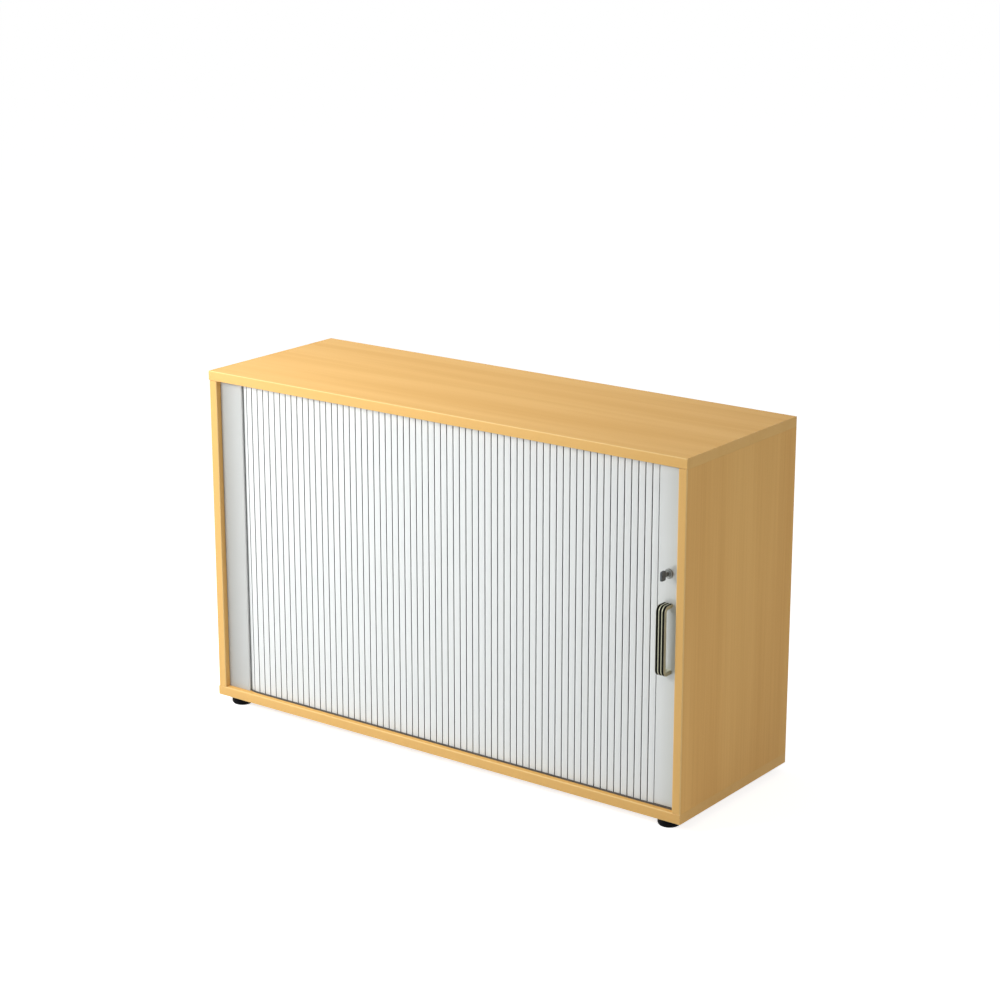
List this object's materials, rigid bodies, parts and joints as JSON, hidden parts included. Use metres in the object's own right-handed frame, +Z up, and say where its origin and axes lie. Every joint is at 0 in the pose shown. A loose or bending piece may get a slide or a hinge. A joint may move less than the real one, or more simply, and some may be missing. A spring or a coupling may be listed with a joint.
{
  "type": "tambour door cabinet",
  "caption": "Low wood-faced cabinet with a sideways sliding tambour curtain, a lockable lead profile with bow handle, a shelf and levelling feet.",
  "frame": {"origin": "on the floor, under the middle of the object's box, with the key and the handle counted", "axes": "+X to the right along the width, -Y out of the front, +Z up"},
  "size_m": [1.2, 0.414, 0.748],
  "materials": {
    "beech_board": "satin melamine with beech grain",
    "slat": "silver-white satin plastic",
    "cover_strip": "light grey satin plastic",
    "lead_profile": "light grey satin coat",
    "black_plastic": "moulded, satin",
    "handle_metal": "champagne, brushed",
    "handle_inlay": "satin black",
    "lock_nickel": "nickel plate",
    "key_plastic": "grey moulded",
    "zinc_steel": "bright zinc"
  },
  "bodies": {
    "root": {"bottom_guide_rail": "black_plastic", "top_guide_rail": "black_plastic", "foot_socket_front_left": "zinc_steel", "foot_socket_front_right": "zinc_steel", "foot_socket_rear_left": "zinc_steel", "foot_socket_rear_right": "zinc_steel", "bottom_panel": "beech_board", "top_panel": "beech_board", "left_side_panel": "beech_board", "right_side_panel": "beech_board", "back_panel": "beech_board", "inner_back_panel": "beech_board", "bay_partition": "beech_board", "shelf": "beech_board", "shelf_pin_left_front": "zinc_steel", "shelf_pin_left_rear": "zinc_steel", "shelf_pin_right_front": "zinc_steel", "shelf_pin_right_rear": "zinc_steel", "left_cover_strip": "cover_strip", "curtain_tail": "slat", "lock_keeper": "zinc_steel"},
    "lead": {"lead_profile": "lead_profile", "guide_shoe_bottom": "black_plastic", "guide_shoe_top": "black_plastic", "handle_bow": "handle_metal", "handle_inlay_1": "handle_inlay", "handle_inlay_2": "handle_inlay", "handle_inlay_3": "handle_inlay", "handle_screw_lower": "zinc_steel", "handle_screw_upper": "zinc_steel", "lock_housing": "lock_nickel"},
    "lock_plug": {"lock_plug": "lock_nickel"},
    "lock_bolt": {"lock_bolt": "zinc_steel"},
    "key_blade": {"key_blade": "lock_nickel"},
    "key_bow": {"key_bow": "key_plastic"},
    "section_01": {"curtain_section_01": "slat"},
    "section_02": {"curtain_section_02": "slat"},
    "section_03": {"curtain_section_03": "slat"},
    "section_04": {"curtain_section_04": "slat"},
    "section_05": {"curtain_section_05": "slat"},
    "section_06": {"curtain_section_06": "slat"},
    "section_07": {"curtain_section_07": "slat"},
    "section_08": {"curtain_section_08": "slat"},
    "section_09": {"curtain_section_09": "slat"},
    "section_10": {"curtain_section_10": "slat"},
    "section_11": {"curtain_section_11": "slat"},
    "section_12": {"curtain_section_12": "slat"},
    "section_13": {"curtain_section_13": "slat"},
    "section_14": {"curtain_section_14": "slat"},
    "section_15": {"curtain_section_15": "slat"},
    "section_16": {"curtain_section_16": "slat"},
    "section_17": {"curtain_section_17": "slat"},
    "section_18": {"curtain_section_18": "slat"},
    "section_19": {"curtain_section_19": "slat"},
    "section_20": {"curtain_section_20": "slat"},
    "section_21": {"curtain_section_21": "slat"},
    "foot_front_left": {"foot_front_left": "black_plastic"},
    "foot_front_right": {"foot_front_right": "black_plastic"},
    "foot_rear_left": {"foot_rear_left": "black_plastic"},
    "foot_rear_right": {"foot_rear_right": "black_plastic"}
  },
  "joints": [
    {"name": "door_slide", "type": "slide", "parent": "root", "child": "lead", "axis": [-1, 0, 0], "range_m": [0, 0.99225], "deforming": ["curtain_section_01", "curtain_section_02", "curtain_section_03", "curtain_section_04", "curtain_section_05", "curtain_section_06", "curtain_section_07", "curtain_section_08", "curtain_section_09", "curtain_section_10", "curtain_section_11", "curtain_section_12", "curtain_section_13", "curtain_section_14", "curtain_section_15", "curtain_section_16", "curtain_section_17", "curtain_section_18", "curtain_section_19", "curtain_section_20", "curtain_section_21"]},
    {"name": "section_01_slide", "type": "slide", "parent": "root", "child": "section_01", "axis": [-1, 0, 0], "range_m": [0, 1.06115]},
    {"name": "section_02_slide", "type": "slide", "parent": "root", "child": "section_02", "axis": [-1, 0, 0], "range_m": [0, 1.0139]},
    {"name": "section_03_slide", "type": "slide", "parent": "root", "child": "section_03", "axis": [-1, 0, 0], "range_m": [0, 0.96665]},
    {"name": "section_04_slide", "type": "slide", "parent": "root", "child": "section_04", "axis": [-1, 0, 0], "range_m": [0, 0.9194]},
    {"name": "section_05_slide", "type": "slide", "parent": "root", "child": "section_05", "axis": [-1, 0, 0], "range_m": [0, 0.87215]},
    {"name": "section_06_slide", "type": "slide", "parent": "root", "child": "section_06", "axis": [-1, 0, 0], "range_m": [0, 0.8249]},
    {"name": "section_07_slide", "type": "slide", "parent": "root", "child": "section_07", "axis": [-1, 0, 0], "range_m": [0, 0.77765]},
    {"name": "section_08_slide", "type": "slide", "parent": "root", "child": "section_08", "axis": [-1, 0, 0], "range_m": [0, 0.7304]},
    {"name": "section_09_slide", "type": "slide", "parent": "root", "child": "section_09", "axis": [-1, 0, 0], "range_m": [0, 0.68315]},
    {"name": "section_10_slide", "type": "slide", "parent": "root", "child": "section_10", "axis": [-1, 0, 0], "range_m": [0, 0.6359]},
    {"name": "section_11_slide", "type": "slide", "parent": "root", "child": "section_11", "axis": [-1, 0, 0], "range_m": [0, 0.58865]},
    {"name": "section_12_slide", "type": "slide", "parent": "root", "child": "section_12", "axis": [-1, 0, 0], "range_m": [0, 0.5414]},
    {"name": "section_13_slide", "type": "slide", "parent": "root", "child": "section_13", "axis": [-1, 0, 0], "range_m": [0, 0.49415]},
    {"name": "section_14_slide", "type": "slide", "parent": "root", "child": "section_14", "axis": [-1, 0, 0], "range_m": [0, 0.4469]},
    {"name": "section_15_slide", "type": "slide", "parent": "root", "child": "section_15", "axis": [-1, 0, 0], "range_m": [0, 0.39965]},
    {"name": "section_16_slide", "type": "slide", "parent": "root", "child": "section_16", "axis": [-1, 0, 0], "range_m": [0, 0.3524]},
    {"name": "section_17_slide", "type": "slide", "parent": "root", "child": "section_17", "axis": [-1, 0, 0], "range_m": [0, 0.30515]},
    {"name": "section_18_slide", "type": "slide", "parent": "root", "child": "section_18", "axis": [-1, 0, 0], "range_m": [0, 0.2579]},
    {"name": "section_19_slide", "type": "slide", "parent": "root", "child": "section_19", "axis": [-1, 0, 0], "range_m": [0, 0.21065]},
    {"name": "section_20_slide", "type": "slide", "parent": "root", "child": "section_20", "axis": [-1, 0, 0], "range_m": [0, 0.1634]},
    {"name": "section_21_slide", "type": "slide", "parent": "root", "child": "section_21", "axis": [-1, 0, 0], "range_m": [0, 0.11615]},
    {"name": "key_turn", "type": "hinge", "parent": "lead", "child": "lock_plug", "pos_m": [0.55575, -0.179, 0.5148], "axis": [0, 1, 0], "range_deg": [0, 90]},
    {"name": "bolt_slide", "type": "slide", "parent": "lead", "child": "lock_bolt", "axis": [1, 0, 0], "range_m": [0, 0.00624]},
    {"name": "key_draw", "type": "slide", "parent": "lock_plug", "child": "key_blade", "axis": [0, -1, 0], "range_m": [0, 0.0067]},
    {"name": "key_fold", "type": "hinge", "parent": "key_blade", "child": "key_bow", "pos_m": [0.55575, -0.1965, 0.5148], "axis": [1, 0, 0], "range_deg": [-90, 90]},
    {"name": "foot_front_left_raise", "type": "slide", "parent": "root", "child": "foot_front_left", "axis": [0, 0, -1], "range_m": [0, 0.01]},
    {"name": "foot_front_right_raise", "type": "slide", "parent": "root", "child": "foot_front_right", "axis": [0, 0, -1], "range_m": [0, 0.01]},
    {"name": "foot_rear_left_raise", "type": "slide", "parent": "root", "child": "foot_rear_left", "axis": [0, 0, -1], "range_m": [0, 0.01]},
    {"name": "foot_rear_right_raise", "type": "slide", "parent": "root", "child": "foot_rear_right", "axis": [0, 0, -1], "range_m": [0, 0.01]}
  ],
  "couplings": [
    {"joint": "section_01_slide", "follows": "door_slide", "ratio": 1.0693},
    {"joint": "section_02_slide", "follows": "door_slide", "ratio": 1.0217},
    {"joint": "section_03_slide", "follows": "door_slide", "ratio": 0.9741},
    {"joint": "section_04_slide", "follows": "door_slide", "ratio": 0.92648},
    {"joint": "section_05_slide", "follows": "door_slide", "ratio": 0.87886},
    {"joint": "section_06_slide", "follows": "door_slide", "ratio": 0.83124},
    {"joint": "section_07_slide", "follows": "door_slide", "ratio": 0.78362},
    {"joint": "section_08_slide", "follows": "door_slide", "ratio": 0.736},
    {"joint": "section_09_slide", "follows": "door_slide", "ratio": 0.68838},
    {"joint": "section_10_slide", "follows": "door_slide", "ratio": 0.64077},
    {"joint": "section_11_slide", "follows": "door_slide", "ratio": 0.59315},
    {"joint": "section_12_slide", "follows": "door_slide", "ratio": 0.54553},
    {"joint": "section_13_slide", "follows": "door_slide", "ratio": 0.49791},
    {"joint": "section_14_slide", "follows": "door_slide", "ratio": 0.45029},
    {"joint": "section_15_slide", "follows": "door_slide", "ratio": 0.40267},
    {"joint": "section_16_slide", "follows": "door_slide", "ratio": 0.35505},
    {"joint": "section_17_slide", "follows": "door_slide", "ratio": 0.30743},
    {"joint": "section_18_slide", "follows": "door_slide", "ratio": 0.25981},
    {"joint": "section_19_slide", "follows": "door_slide", "ratio": 0.21219},
    {"joint": "section_20_slide", "follows": "door_slide", "ratio": 0.16458},
    {"joint": "section_21_slide", "follows": "door_slide", "ratio": 0.11696},
    {"joint": "bolt_slide", "follows": "key_turn", "m_per_rad": 0.0039614}
  ]
}
